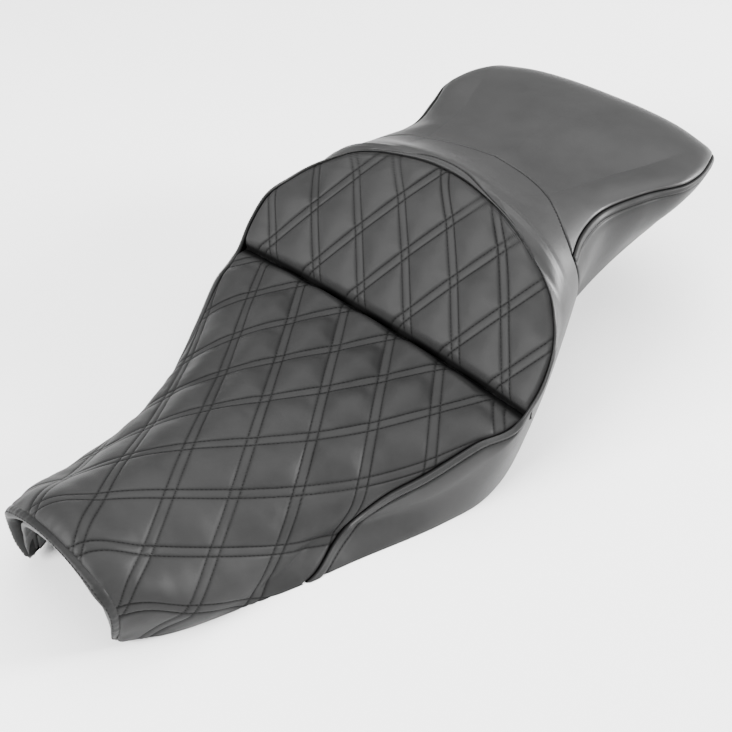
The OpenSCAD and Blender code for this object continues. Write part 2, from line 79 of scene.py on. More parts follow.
# Height of the pan's arch above its rim.
ARCH_H = [(-343, 76), (-300, 68), (-257, 52), (-217, 42), (-177, 34), (-97, 29), (-9, 30), (60, 34),
    (126, 44), (204, 42), (279, 34), (320, 20), (343, 4)]
# Seams: (distance along the seat, place across), and for the hump (place across, distance along).
SIDE_SEAM = [(-212, 3), (-189, 2.6), (-165, 2.13), (-150, 1.75), (-135, 1.5), (-98, 1.23), (-50, 1.05),
    (-9, 1)]
PASSENGER_SEAM = [(100, 1.68), (140, 1.64), (200, 1.7), (257, 1.86), (300, 1.85), (343, 1.5)]
HUMP_SEAM = [(0, 146), (0.6, 141), (1, 132), (1.3, 118), (1.5, 107), (1.68, 100)]


def curve(points, at):
    """Smooth curve through (place, value) points, evaluated at the places in an array."""
    x = np.array([p[0] for p in points], float)
    v = np.array([p[1] for p in points], float)
    at = np.clip(at, x[0], x[-1])
    i = np.clip(np.searchsorted(x, at, side="right") - 1, 0, len(x) - 2)
    gap = np.diff(x)
    rise = np.diff(v) / gap
    slope = np.concatenate([
        rise[:1],
        (rise[:-1] * gap[1:] + rise[1:] * gap[:-1]) / (gap[:-1] + gap[1:]),
        rise[-1:]])
    return hermite(v[i], slope[i] * gap[i], v[i + 1], slope[i + 1] * gap[i], (at - x[i]) / gap[i])


def hermite(a, ma, b, mb, f):
    return ((2 * f**3 - 3 * f**2 + 1) * a + (f**3 - 2 * f**2 + f) * ma
            + (3 * f**2 - 2 * f**3) * b + (f**3 - f**2) * mb)


def mix(a, b, f):
    return a + (b - a) * f


def smooth(x, lo, hi):
    """0 below lo, 1 above hi, with a smooth step between."""
    u = np.clip((x - lo) / (hi - lo), 0, 1)
    return u * u * (3 - 2 * u)


def section(y, t):
    """Points of the cross sections at y: t is 0 in the middle, 1 shoulder, 2 widest, 3 bottom edge."""
    y, t = np.broadcast_arrays(np.asarray(y, float), np.asarray(t, float))
    side = np.where(t < 0, -1.0, 1.0)
    t = np.abs(t)
    u = np.clip((y - TAIL_START) / (TAIL_Y - TAIL_START), 0, 1)
    keep = np.maximum(1 - u**TAIL_ROUND, 0)**(1 / TAIL_ROUND)
    narrow = 0.83 + 0.17 * keep
    top = mix(TAIL_Z, np.where(y <= CREASE_Y, curve(CROWN_FRONT, y), curve(CROWN_REAR, y)), keep)
    xa = curve(SHOULDER_X, y) * narrow
    za = np.minimum(mix(TAIL_Z, curve(SHOULDER_Z, y), keep), top)
    xw = curve(WIDEST_X, y) * narrow
    zw = mix(TAIL_Z, curve(WIDEST_Z, y), keep)
    xb = curve(EDGE_X, y)
    zb = np.maximum(curve(EDGE_Z, y), 0)
    power = curve(FLATNESS, y)
    x1 = xa * t
    z1 = top - (top - za) * t**power
    lean = np.arctan2(power * (top - za), xa) + np.radians(curve(RIDGE_DEG, y))
    reach = 1.1 * np.hypot(xw - xa, zw - za)
    f = np.clip(t - 1, 0, 1)
    x2 = hermite(xa, reach * np.cos(lean), xw, 0, f)
    z2 = hermite(za, -reach * np.sin(lean), zw, -reach, f)
    dx, dz = xb - xw, zb - zw
    chord = np.hypot(dx, dz)
    f = np.clip(t - 2, 0, 1)
    x3 = hermite(xw, 0, xb, 0.6 * dx - 0.12 * chord, f)
    z3 = hermite(zw, -0.9 * chord, zb, 0.6 * dz - 0.4 * chord, f)
    x = np.where(t <= 1, x1, np.where(t <= 2, x2, x3))
    z = np.where(t <= 1, z1, np.where(t <= 2, z2, z3))
    bend = curve(BOW_Y, y) * np.minimum(x / xw, 1)**2.5
    return np.stack([side * x, y + bend + SHIFT_Y, z], -1)


def side_t(y):
    return np.where(y < SIDE_SEAM[0][0], 3.0, np.minimum(curve(SIDE_SEAM, y), 3.0))


def unit(v):
    return v / np.maximum(np.linalg.norm(v, axis=-1, keepdims=True), 1e-9)


def surface(y, t):
    """Points and outward unit normals; steps along the seat stay on one side of the crease."""
    y, t = np.broadcast_arrays(np.asarray(y, float), np.asarray(t, float))
    low = np.maximum(y - 0.5, NOSE_Y)
    low = np.where((y > CREASE_Y) & (low <= CREASE_Y), CREASE_Y + 1e-3, low)
    high = np.minimum(y + 0.5, TAIL_Y)
    high = np.where((y <= CREASE_Y) & (high > CREASE_Y), CREASE_Y, high)
    along = section(high, t) - section(low, t)
    across = section(y, np.minimum(t + 0.01, 3)) - section(y, np.maximum(t - 0.01, -3))
    return section(y, t), unit(np.cross(across, along))


# ---------------------------------------------------------------------------
# Meshes from grids
# ---------------------------------------------------------------------------
def make_mesh(name, points, quads, smooth_shade=True):
    """A mesh object from points in millimetres and a list of faces."""
    mesh = bpy.data.meshes.new(name)
    mesh.from_pydata((np.asarray(points).reshape(-1, 3) * MM).tolist(), [], np.asarray(quads).tolist())
    mesh.polygons.foreach_set("use_smooth", [smooth_shade] * len(mesh.polygons))
    mesh.update()
    piece = bpy.data.objects.new(name, mesh)
    bpy.context.scene.collection.objects.link(piece)
    return piece


def grid_quads(n, m, base=0):
    i, j = np.meshgrid(np.arange(n - 1), np.arange(m - 1), indexing="ij")
    a = base + i * m + j
    return np.stack([a, a + 1, a + m + 1, a + m], -1).reshape(-1, 4)


def along_rows(points):
    """Distance along each row of a grid of points, from its first column."""
    step = np.linalg.norm(np.diff(points, axis=1), axis=-1)
    return np.concatenate([np.zeros((len(points), 1)), np.cumsum(step, 1)], 1)


def along_columns(points):
    return along_rows(points.transpose(1, 0, 2)).T


def with_skirt(points, inward):
    """Adds a turned-in edge all round a grid, so that the seams close to a dark line."""
    for depth in (2.5, 4.5):
        points = np.concatenate([points[:1] + inward[:1] * depth, points,
                                 points[-1:] + inward[-1:] * depth], 0)
        inward = np.concatenate([inward[:1], inward, inward[-1:]], 0)
    for depth in (2.5, 4.5):
        points = np.concatenate([points[:, :1] + inward[:, :1] * depth, points,
                                 points[:, -1:] + inward[:, -1:] * depth], 1)
        inward = np.concatenate([inward[:, :1], inward, inward[:, -1:]], 1)
    return points


def cover_piece(name, points, inward, nodes, material, dark=None, flip=False):
    """One sewn cover panel from its grid of points, with turned-in edges; dark is painted shade, 1 in its
    seams.
    """
    closed = with_skirt(points, inward)
    closed[..., 2] = np.maximum(closed[..., 2], 0.4)
    quads = grid_quads(*closed.shape[:2])
    if flip:
        quads = quads[:, ::-1]
    piece = make_mesh(name, closed, quads)
    piece.data.materials.append(material)
    shade = np.zeros(points.shape[:2]) if dark is None else dark
    layer = piece.data.attributes.new("seam_shade", "FLOAT", "POINT")
    # Painted shade: the turned-in edges get full shade, so every seam reads as a dark line.
    layer.data.foreach_set("value", np.pad(shade, 2, constant_values=1.0).astype(np.float32).ravel())
    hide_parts(*nodes)
    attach(piece, "root")
    return piece


# ---------------------------------------------------------------------------
# Stitches
# ---------------------------------------------------------------------------
STITCH_PITCH, STITCH_LENGTH, STITCH_WIDTH = 3.6, 2.5, 0.85


def resample(points, step):
    gaps = np.linalg.norm(np.diff(points, axis=0), axis=1)
    run = np.concatenate([[0], np.cumsum(gaps)])
    if run[-1] < step:
        return None
    at = np.arange(step / 2, run[-1], step)
    return np.stack([np.interp(at, run, points[:, k]) for k in range(3)], 1)


def stitches(lines):
    """Points and faces of small rounded stitches along (points, normals) lines."""
    rings = [(-0.5, 0.25), (-0.36, 0.85), (0.0, 1.0), (0.36, 0.85), (0.5, 0.25)]
    sides = 6
    all_points, all_faces = [], []
    for points, normals in lines:
        middle = resample(points, STITCH_PITCH)
        if middle is None or len(middle) < 2:
            continue
        nearest = np.argmin(((points[None] - middle[:, None])**2).sum(-1), axis=1)
        normal = unit(normals[nearest])
        tangent = unit(np.gradient(middle, axis=0))
        cross = unit(np.cross(normal, tangent))
        for centre, n, f, c in zip(middle, normal, tangent, cross):
            base = len(all_points)
            for place, size in rings:
                for k in range(sides):
                    a = 2 * math.pi * k / sides
                    lift = n * (math.sin(a) * STITCH_WIDTH * 0.42 * size - 0.05)
                    all_points.append(centre + f * place * STITCH_LENGTH
                                      + c * math.cos(a) * STITCH_WIDTH * 0.5 * size + lift)
            for r in range(len(rings) - 1):
                for k in range(sides):
                    k2 = (k + 1) % sides
                    all_faces.append([base + r * sides + k, base + r * sides + k2,
                                      base + (r + 1) * sides + k2, base + (r + 1) * sides + k])
            all_faces.append([base + k for k in range(sides)][::-1])
            all_faces.append([base + (len(rings) - 1) * sides + k for k in range(sides)])
    return all_points, all_faces


def stitch_piece(name, lines, material):
    points, faces = stitches(lines)
    mesh = bpy.data.meshes.new(name)
    mesh.from_pydata((np.array(points) * MM).tolist(), [], faces)
    mesh.polygons.foreach_set("use_smooth", [True] * len(mesh.polygons))
    mesh.update()
    piece = bpy.data.objects.new(name, mesh)
    bpy.context.scene.collection.objects.link(piece)
    mesh.materials.append(material)
    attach(piece, "root")
    return piece


# ---------------------------------------------------------------------------
# Quilting
# ---------------------------------------------------------------------------
DIAMOND_W = 54.0            # across the seat
DIAMOND_L = 39.9            # half of its length along the seat
LINE_GAP = DIAMOND_W * math.cos(math.atan(DIAMOND_W / 2 / DIAMOND_L))
ROW_HALF = 3.6              # half the distance between the two rows of a double stitch
ROW_SHARE = ROW_HALF / LINE_GAP
FIRST_ROW_Y = -19.0         # first row of crossings in front of the crease
LUMBAR_ROWS_Z = [89, 125, 158, 188]     # heights of the rows of crossings up the lumbar face


def line_distances(a, b):
    """Distance to the middle of the nearest double-stitched line of each set."""
    return np.abs(a - np.round(a)) * LINE_GAP, np.abs(b - np.round(b)) * LINE_GAP


def stitch_groove(a, b, depth=0.7):
    da, db = line_distances(a, b)
    return depth * np.maximum(np.exp(-((da - ROW_HALF) / 1.1)**2), np.exp(-((db - ROW_HALF) / 1.1)**2))


SIM_SCALE = 0.01            # millimetres to the simulation's own units
PRESSURE, SLACK, SIM_FRAMES = 20.0, 0.035, 14


def inflate(points, pinned):
    """Cloth simulation of a padded panel, held along its sewn lines and pushed out by its wadding."""
    mesh = bpy.data.meshes.new("wadding")
    mesh.from_pydata((points.reshape(-1, 3) * SIM_SCALE).tolist(), [], grid_quads(*points.shape[:2]).tolist())
    mesh.update()
    panel = bpy.data.objects.new("wadding", mesh)
    bpy.context.scene.collection.objects.link(panel)
    group = panel.vertex_groups.new(name="sewn")
    group.add(np.flatnonzero(pinned.ravel()).tolist(), 1.0, "REPLACE")
    modifier = panel.modifiers.new("cloth", "CLOTH")
    cloth = modifier.settings
    cloth.vertex_group_mass = "sewn"
    cloth.quality = 4
    cloth.mass = 0.02
    cloth.tension_stiffness = 30
    cloth.compression_stiffness = 30
    cloth.shear_stiffness = 15
    cloth.bending_stiffness = 0.3
    cloth.air_damping = 4
    cloth.tension_damping = 10
    cloth.use_pressure = True
    cloth.uniform_pressure_force = PRESSURE
    cloth.shrink_min = cloth.shrink_max = -SLACK
    cloth.effector_weights.gravity = 0
    modifier.collision_settings.use_collision = False
    modifier.collision_settings.use_self_collision = False
    modifier.point_cache.frame_start = 1
    modifier.point_cache.frame_end = SIM_FRAMES
    for number in range(1, SIM_FRAMES + 1):
        bpy.context.scene.frame_set(number)
    settled = panel.evaluated_get(bpy.context.evaluated_depsgraph_get())
    flat = np.empty(len(mesh.vertices) * 3)
    settled.data.vertices.foreach_get("co", flat)
    bpy.context.scene.frame_set(1)
    bpy.data.objects.remove(panel)
    bpy.data.meshes.remove(mesh)
    return flat.reshape(points.shape) / SIM_SCALE


def finer(grid, n, m):
    """A grid resampled smoothly to n rows and m columns."""
    def stretch(values, count):
        at = np.linspace(0, len(values) - 1, count)
        i = np.clip(at.astype(int), 0, len(values) - 2)
        f = (at - i).reshape(-1, *[1] * (values.ndim - 1))
        slope = np.gradient(values, axis=0)
        return hermite(values[i], slope[i], values[i + 1], slope[i + 1], f)
    return np.swapaxes(stretch(np.swapaxes(stretch(grid, n), 0, 1), m), 0, 1)


def soften(grid, rounds):
    """Evens out a grid of values with its neighbours, leaving its border alone."""
    for _ in range(rounds):
        grid = grid.copy()
        grid[1:-1, 1:-1] = (grid[1:-1, 1:-1] * 4 + grid[:-2, 1:-1] + grid[2:, 1:-1]
                            + grid[1:-1, :-2] + grid[1:-1, 2:]) / 8
    return grid


def puffed(base, normals, a, b):
    """How far the simulated wadding lifts each place of a panel, from a grid of half the density."""
    da, db = line_distances(a[::2, ::2], b[::2, ::2])
    pinned = (da < ROW_HALF + 0.5) | (db < ROW_HALF + 0.5)
    pinned[[0, -1]] = True
    pinned[:, [0, -1]] = True
    coarse = base[::2, ::2]
    lift = ((inflate(coarse, pinned) - coarse) * normals[::2, ::2]).sum(-1)
    return finer(soften(lift, 7), *base.shape[:2])


def trace(level, value, points, normals, inside):
    """Lines of a grid where value crosses level, row by row."""
    lines, runs = [], []
    for row in range(len(value)):
        v = value[row] - level
        hit = np.where((v[:-1] <= 0) & (v[1:] > 0) | (v[:-1] > 0) & (v[1:] <= 0))[0]
        hit = [h for h in hit if inside[row, h] and inside[row, h + 1]]
        if hit:
            h = hit[0]
            f = v[h] / (v[h] - v[h + 1])
            runs.append((mix(points[row, h], points[row, h + 1], f),
                         mix(normals[row, h], normals[row, h + 1], f)))
        else:
            if len(runs) > 3:
                lines.append(runs)
            runs = []
    if len(runs) > 3:
        lines.append(runs)
    return [(np.array([r[0] for r in run]), np.array([r[1] for r in run])) for run in lines]


def quilt_lines(a, b, points, normals, inside):
    """Both rows of every double-stitched line."""
    lines = []
    for value in (a, b):
        for n in range(int(math.floor(value.min())), int(math.ceil(value.max())) + 1):
            for side in (-ROW_SHARE, ROW_SHARE):
                lines += trace(n + side, value, points, normals, inside)
    return lines


# ---------------------------------------------------------------------------
# Materials
# ---------------------------------------------------------------------------
def node_material(name):
    material = bpy.data.materials.new(name)
    material.use_nodes = True
    tree = material.node_tree
    tree.nodes.clear()
    output = tree.nodes.new("ShaderNodeOutputMaterial")
    shader = tree.nodes.new("ShaderNodeBsdfPrincipled")
    tree.links.new(shader.outputs[0], output.inputs[0])
    return material, tree, shader


def noise_node(tree, place, scale, detail=4.0, roughness=0.5):
    node = tree.nodes.new("ShaderNodeTexNoise")
    node.inputs["Scale"].default_value = scale
    node.inputs["Detail"].default_value = detail
    node.inputs["Roughness"].default_value = roughness
    tree.links.new(place, node.inputs["Vector"])
    return node.outputs["Fac"]


def ramp_node(tree, value, stops):
    node = tree.nodes.new("ShaderNodeValToRGB")
    ramp = node.color_ramp
    while len(ramp.elements) < len(stops):
        ramp.elements.new(0.5)
    for element, (at, colour) in zip(ramp.elements, stops):
        element.position = at
        element.color = (*colour, 1)
    tree.links.new(value, node.inputs["Fac"])
    return node.outputs["Color"]


def bump_node(tree, height, strength, distance, normal=None):
    node = tree.nodes.new("ShaderNodeBump")
    node.inputs["Strength"].default_value = strength
    node.inputs["Distance"].default_value = distance
    tree.links.new(height, node.inputs["Height"])
    if normal is not None:
        tree.links.new(normal, node.inputs["Normal"])
    return node.outputs["Normal"]


def math_node(tree, kind, first, second):
    node = tree.nodes.new("ShaderNodeMath")
    node.operation = kind
    for socket, value in zip(node.inputs, (first, second)):
        if isinstance(value, (int, float)):
            socket.default_value = value
        else:
            tree.links.new(value, socket)
    return node.outputs[0]


def grey(value):
    return (value, value, value)


def leather(name, dark, light, rough, gloss_level):
    """Grained vinyl: pebbles from Voronoi cells, broken up by noise, with slight mottling, and painted shade
    in its seams from the seam_shade attribute.
    """
    material, tree, shader = node_material(name)
    place = tree.nodes.new("ShaderNodeTexCoord").outputs["Object"]
    cells = tree.nodes.new("ShaderNodeTexVoronoi")
    cells.feature = "DISTANCE_TO_EDGE"
    cells.inputs["Scale"].default_value = 780.0
    tree.links.new(place, cells.inputs["Vector"])
    fine = noise_node(tree, place, 1500.0, 3.0)
    broad = noise_node(tree, place, 22.0, 5.0, 0.6)
    pebble = math_node(tree, "MINIMUM", cells.outputs["Distance"], 0.12)
    height = math_node(tree, "MULTIPLY_ADD", fine, 0.05)
    height.node.inputs[2].default_value = 0.0
    tree.links.new(pebble, height.node.inputs[2])
    colour = ramp_node(tree, broad, [(0.3, dark), (0.7, light)])
    # Painted shade: seam_shade darkens the colour towards black and takes away the gloss in seams, stitch
    # grooves and the crease.
    shade = tree.nodes.new("ShaderNodeAttribute")
    shade.attribute_name = "seam_shade"
    soft = math_node(tree, "MULTIPLY", shade.outputs["Fac"], 0.85)
    seam_shaded = tree.nodes.new("ShaderNodeMixRGB")
    seam_shaded.inputs["Color2"].default_value = (0.002, 0.002, 0.002, 1)
    tree.links.new(soft, seam_shaded.inputs["Fac"])
    tree.links.new(colour, seam_shaded.inputs["Color1"])
    tree.links.new(seam_shaded.outputs["Color"], shader.inputs["Base Color"])
    gloss = math_node(tree, "MULTIPLY", math_node(tree, "SUBTRACT", 1.0, soft), gloss_level)
    tree.links.new(gloss, shader.inputs["Specular IOR Level"])
    roughness = ramp_node(tree, broad, [(0.25, grey(rough - 0.05)), (0.75, grey(rough + 0.06))])
    tree.links.new(roughness, shader.inputs["Roughness"])
    coarse = bump_node(tree, noise_node(tree, place, 90.0, 4.0), 0.12, 0.0012)
    tree.links.new(bump_node(tree, height, 0.28, 0.0006, coarse), shader.inputs["Normal"])
    return material


def plain(name, dark, light, rough, scale, bump, metallic=0.0):
    """A mottled surface with a fine bump, for plastic, steel, rubber, felt and foam."""
    material, tree, shader = node_material(name)
    place = tree.nodes.new("ShaderNodeTexCoord").outputs["Object"]
    grain = noise_node(tree, place, scale, 6.0, 0.6)
    broad = noise_node(tree, place, 30.0, 4.0)
    tree.links.new(ramp_node(tree, broad, [(0.3, dark), (0.7, light)]), shader.inputs["Base Color"])
    roughness = ramp_node(tree, grain, [(0.3, grey(rough - 0.07)), (0.7, grey(rough + 0.07))])
    tree.links.new(roughness, shader.inputs["Roughness"])
    tree.links.new(bump_node(tree, grain, bump, 0.0008), shader.inputs["Normal"])
    shader.inputs["Metallic"].default_value = metallic
    return material


def thread(name, dark, light):
    """Twisted thread: fine slanted ribs."""
    material, tree, shader = node_material(name)
    place = tree.nodes.new("ShaderNodeTexCoord").outputs["Object"]
    twist = tree.nodes.new("ShaderNodeTexWave")
    twist.inputs["Scale"].default_value = 900.0
    twist.inputs["Distortion"].default_value = 2.0
    tree.links.new(place, twist.inputs["Vector"])
    colour = ramp_node(tree, twist.outputs["Fac"], [(0.2, dark), (0.8, light)])
    tree.links.new(colour, shader.inputs["Base Color"])
    tree.links.new(bump_node(tree, twist.outputs["Fac"], 0.3, 0.0003), shader.inputs["Normal"])
    shader.inputs["Roughness"].default_value = 0.7
    shader.inputs["Specular IOR Level"].default_value = 0.12
    return material


QUILT_VINYL = leather("quilt_vinyl", grey(0.014), grey(0.019), 0.50, 0.10)
PLAIN_VINYL = leather("plain_vinyl", grey(0.016), grey(0.021), 0.40, 0.20)
# Painted shade: a darker copy of the vinyl for the passenger side panels and the nose band, which face away
# from the light.
SHADED_SIDE_VINYL = leather("shaded_side_vinyl", grey(0.011), grey(0.015), 0.44, 0.10)
THREAD = thread("black_thread", grey(0.001), grey(0.003))

# ---------------------------------------------------------------------------
# Cover panels
# ---------------------------------------------------------------------------
FINE = 1.35


def quilt_places(rows_y, limit, columns):
    share = np.linspace(-1, 1, columns)
    return rows_y[:, None] + 0 * share[None], limit[:, None] * share[None]


def section_arc(points):
    """Distance from the middle along each row, in the section plane, signed."""
    step = np.hypot(np.diff(points[..., 0], axis=1), np.diff(points[..., 2], axis=1))
    run = np.concatenate([np.zeros((len(points), 1)), np.cumsum(step, 1)], 1)
    return run - run[:, -1:] / 2


def edge_distance(points):
    run = along_rows(points)
    return np.minimum(run, run[:, -1:] - run)


def roll_down(distance, depth, width):
    """How far a panel's edge rolls down into its seam."""
    return depth * (1 - np.clip(distance / width, 0, 1))**2.2


# The crease: both quilted panels roll down into it along the same slanting lines.
CREASE_DEPTH, CREASE_REACH = 8.5, 11.0
def crease_inward(t):
    below = surface(np.full(t.shape, CREASE_Y), t)[1]
    above = surface(np.full(t.shape, CREASE_Y + 0.5), t)[1]
    return -unit(below + above)


# Driver panel.
rows = np.linspace(NOSE_Y, CREASE_Y, 2 * int((CREASE_Y - NOSE_Y) / FINE / 2) + 1)
driver_y, driver_t = quilt_places(rows, np.minimum(side_t(rows) - 0.004, 2.995), 361)
base, normals = surface(driver_y, driver_t)
across = section_arc(base) / DIAMOND_W
bent = 5.0 * np.maximum(np.abs(across) - 1.2, 0)**2.2
row_number = (FIRST_ROW_Y - (base[..., 1] - SHIFT_Y - bent)) / DIAMOND_L - 1
line_a, line_b = across - row_number / 2, across + row_number / 2
to_side = edge_distance(base)
to_crease = along_columns(base)[-1:] - along_columns(base)
to_nose = along_columns(base)
open_side = (rows < SIDE_SEAM[0][0])[:, None]
lift = puffed(base, normals, line_a, line_b) * (0.55 + 0.95 * smooth(driver_y, -290, -70))
lift = lift * (1 - 0.35 * smooth(np.abs(across), 1.3, 2.2))
lift = lift + 1.6 * smooth(to_crease, 2, 12) * (1 - smooth(to_crease, 12, 45))
relief = lift - stitch_groove(line_a, line_b)
relief = relief - roll_down(to_side, 2.6, 4.5) * ~open_side - roll_down(to_nose, 1.6, 4.0)
gathers = 0.3 * np.sin(across * 27 + 2 * np.sin(across * 5))
relief = relief + gathers * np.exp(-to_nose / 7) * smooth(to_nose, 1, 4)
driver_points = base + normals * relief[..., None]
slant = crease_inward(driver_t[-1])[None]
driver_points = driver_points + slant * roll_down(to_crease, CREASE_DEPTH, CREASE_REACH)[..., None]
inward = np.where((to_crease < 12)[..., None], slant, -normals)
# Painted shade: darker in the stitch grooves, down into the crease and along the side seam.
dark = np.maximum(0.75 * stitch_groove(line_a, line_b, 1.0)**2, smooth(-to_crease, -6.5, -3))
dark = np.maximum(dark, (1 - smooth(to_side, 0, 1.6)) * ~open_side)
cover_piece("driver_quilt", driver_points, inward, ["driver_quilt_panel"], QUILT_VINYL, dark)
sewn = (to_crease > 4.0) & (to_nose > 2.5) & ((to_side > 2.5) | open_side) & (driver_points[..., 2] > 3)
quilt_rows = quilt_lines(line_a, line_b, driver_points, normals, sewn)

# Lumbar panel.
TURN_Y, TOP_Y = 60.0, 75.0
turn_rows = np.linspace(CREASE_Y + 0.01, TURN_Y, 121)
turn_angle = np.radians(np.linspace(0, 88, 33))[1:]
rows = np.concatenate([turn_rows, TURN_Y + (TOP_Y - TURN_Y) * np.sin(turn_angle)])
limit = np.concatenate([np.ones(len(turn_rows)), np.cos(turn_angle)]) - 0.004
lumbar_y, lumbar_t = quilt_places(rows, limit, 321)
base, normals = surface(lumbar_y, lumbar_t)
across = section_arc(base) / DIAMOND_W
height = base[..., 2]
low_row, high_row = LUMBAR_ROWS_Z[0], LUMBAR_ROWS_Z[-1]
up_face = np.interp(height, LUMBAR_ROWS_Z, range(len(LUMBAR_ROWS_Z)))
up_face = up_face + (np.minimum(height, low_row) - low_row) / 36
up_face = up_face + (np.maximum(height, high_row) - high_row) / 30
line_a, line_b = across - (up_face + 1) / 2, across + (up_face + 1) / 2
to_crease = along_columns(base)
rim = np.concatenate([base[:, 0], base[:, -1], base[-1]])
to_rim = np.concatenate([np.sqrt(((row[:, None] - rim[None])**2).sum(-1).min(-1))[None] for row in base])
lift = puffed(base, normals, line_a, line_b) * 0.55
relief = lift - stitch_groove(line_a, line_b) - roll_down(to_rim, 2.4, 4.5)
lumbar_points = base + normals * relief[..., None]
slant = crease_inward(lumbar_t[0])[None]
lumbar_points = lumbar_points + slant * roll_down(to_crease, CREASE_DEPTH, CREASE_REACH)[..., None]
inward = np.where((to_crease < 12)[..., None], slant, -normals)
# Painted shade: darker in the stitch grooves, down into the crease and round the rim.
dark = np.maximum(0.75 * stitch_groove(line_a, line_b, 1.0)**2, smooth(-to_crease, -5.5, -2.5))
dark = np.maximum(dark, 1 - smooth(to_rim, 0, 1.6))
cover_piece("lumbar_quilt", lumbar_points, inward, ["lumbar_quilt_panel"], QUILT_VINYL, dark)

# The crease is drawn down to a tape inside it; the tape is coloured like the black thread, as painted shade
# at the bottom of the crease.
places = np.linspace(-0.995, 0.995, 240)
valley = surface(np.full(places.shape, CREASE_Y), places)[0] + crease_inward(places) * 11
around = np.radians(np.linspace(0, 360, 13))
run_way = unit(np.gradient(valley, axis=0))
side_way = unit(np.cross(run_way, crease_inward(places)))
tube = valley[:, None] + 2.6 * (np.cos(around)[None, :, None] * side_way[:, None]
                                + np.sin(around)[None, :, None] * crease_inward(places)[:, None])
crease_shade_tape = make_mesh("crease_shade_tape", tube, grid_quads(*tube.shape[:2]))
crease_shade_tape.data.materials.append(THREAD)
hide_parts("crease_listing")
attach(crease_shade_tape, "root")
sewn = (to_crease > 4.0) & (to_rim > 3.0)
quilt_rows += quilt_lines(line_a, line_b, lumbar_points, normals, sewn)


# Bolster over the hump and down both sides, in one piece.
UPRIGHT_Y, UPRIGHT_T = 100.0, 1.68


def arch_place(f):
    turn = 0.72
    a = np.radians(90 * np.clip((f - turn) / (1 - turn), 0, 1))
    return (np.where(f < turn, mix(CREASE_Y, TURN_Y, f / turn), TURN_Y + (TOP_Y - TURN_Y) * np.sin(a)),
            np.where(f < turn, 1.0, np.cos(a)))


def bolster_edges(a):
    """Inner and outer edge of the bolster: a is 0 at the front tip and 1 over the middle."""
    front, turn = SIDE_SEAM[0][0], 0.4
    y_side = mix(front, CREASE_Y, np.clip(a / turn, 0, 1))
    y_arch, t_arch = arch_place(np.clip((a - turn) / (1 - turn), 0, 1))
    inner_y = np.where(a < turn, y_side, y_arch)
    inner_t = np.where(a < turn, side_t(y_side), t_arch)
    t_hump = UPRIGHT_T * (1 - np.clip((a - 0.75) / 0.25, 0, 1))
    outer_y = np.where(a < 0.6, mix(front, UPRIGHT_Y, a / 0.6),
                       np.where(a < 0.75, UPRIGHT_Y, curve(HUMP_SEAM, t_hump)))
    outer_t = np.where(a < 0.6, 3.0, np.where(a < 0.75, mix(3, UPRIGHT_T, (a - 0.6) / 0.15), t_hump))
    return inner_y, inner_t, outer_y, outer_t


def row_at(points, normals, run, distance):
    """A line across every row of a grid at one distance from its first column."""
    line, up = [], []
    for p, n, r in zip(points, normals, run):
        if r[-1] < distance * 1.3:
            continue
        line.append([np.interp(distance, r, p[:, k]) for k in range(3)])
        up.append([np.interp(distance, r, n[:, k]) for k in range(3)])
    return np.array(line), unit(np.array(up))


def welt(run, height=1.2, sunk=2.6):
    """The folded allowance beside a seam, held down by a topstitch."""
    ridge = height * smooth(run, 0.2, 1.8) * (1 - smooth(run, 4.6, 6.6))
    return ridge - 0.7 * np.exp(-((run - TOPSTITCH) / 1.1)**2) - roll_down(run, sunk, 1.8)


def along_wave(points, length, amount, seed):
    """Small pulls of the cover along a seam."""
    wave = np.random.default_rng(seed)
    run = along_columns(points)[:, :1]
    total = 0 * run
    for k in range(5):
        total = total + np.sin(run * 2 * math.pi / (length * (0.6 + 0.25 * k)) + wave.uniform(0, 6.3))
    return amount * total / 3


TOPSTITCH = 7.2
half = np.concatenate([np.linspace(0.004, 0.6, 250), np.linspace(0.6, 0.75, 70)[1:],
                       np.linspace(0.75, 1, 130)[1:]])
whole = np.concatenate([-half, half[:-1][::-1]])
inner_y, inner_t, outer_y, outer_t = bolster_edges(np.abs(whole))
width = np.concatenate([np.linspace(0, 0.2, 34), np.linspace(0.2, 0.92, 44)[1:],
                        np.linspace(0.92, 1, 14)[1:]])
bolster_y = mix(inner_y[:, None], outer_y[:, None] - 0.1, width[None])
reach_t = mix(inner_t[:, None] + 0.003, outer_t[:, None], width[None])
bolster_t = np.sign(whole)[:, None] * np.minimum(reach_t, 3)
base, normals = surface(bolster_y, bolster_t)
to_inner = along_rows(base)
to_outer = to_inner[:, -1:] - to_inner
over_hump = np.abs(whole) > 0.6
relief = welt(to_inner) - roll_down(to_outer, 1.4, 3.0) * over_hump[:, None]
relief = relief + along_wave(base, 21, 0.12, 3) * smooth(to_inner, 6, 10) * (1 - smooth(to_inner, 12, 26))
bolster_points = base + normals * relief[..., None]
# Painted shade: darker at the inner seam, in the topstitch groove and at the outer seam over the hump.
dark = np.maximum(1 - smooth(to_inner, 0, 1.2), 0.5 * np.exp(-((to_inner - TOPSTITCH) / 0.9)**2))
dark = np.maximum(dark, (1 - smooth(to_outer, 0, 1.2)) * over_hump[:, None])
cover_piece("bolster", bolster_points, -normals, ["bolster_panel"], PLAIN_VINYL, dark)
seam_rows = [row_at(bolster_points, normals, to_inner, TOPSTITCH)]
seam_rows.append(row_at(bolster_points[over_hump][:, ::-1], normals[over_hump][:, ::-1],
                        to_outer[over_hump][:, ::-1], 1.6))

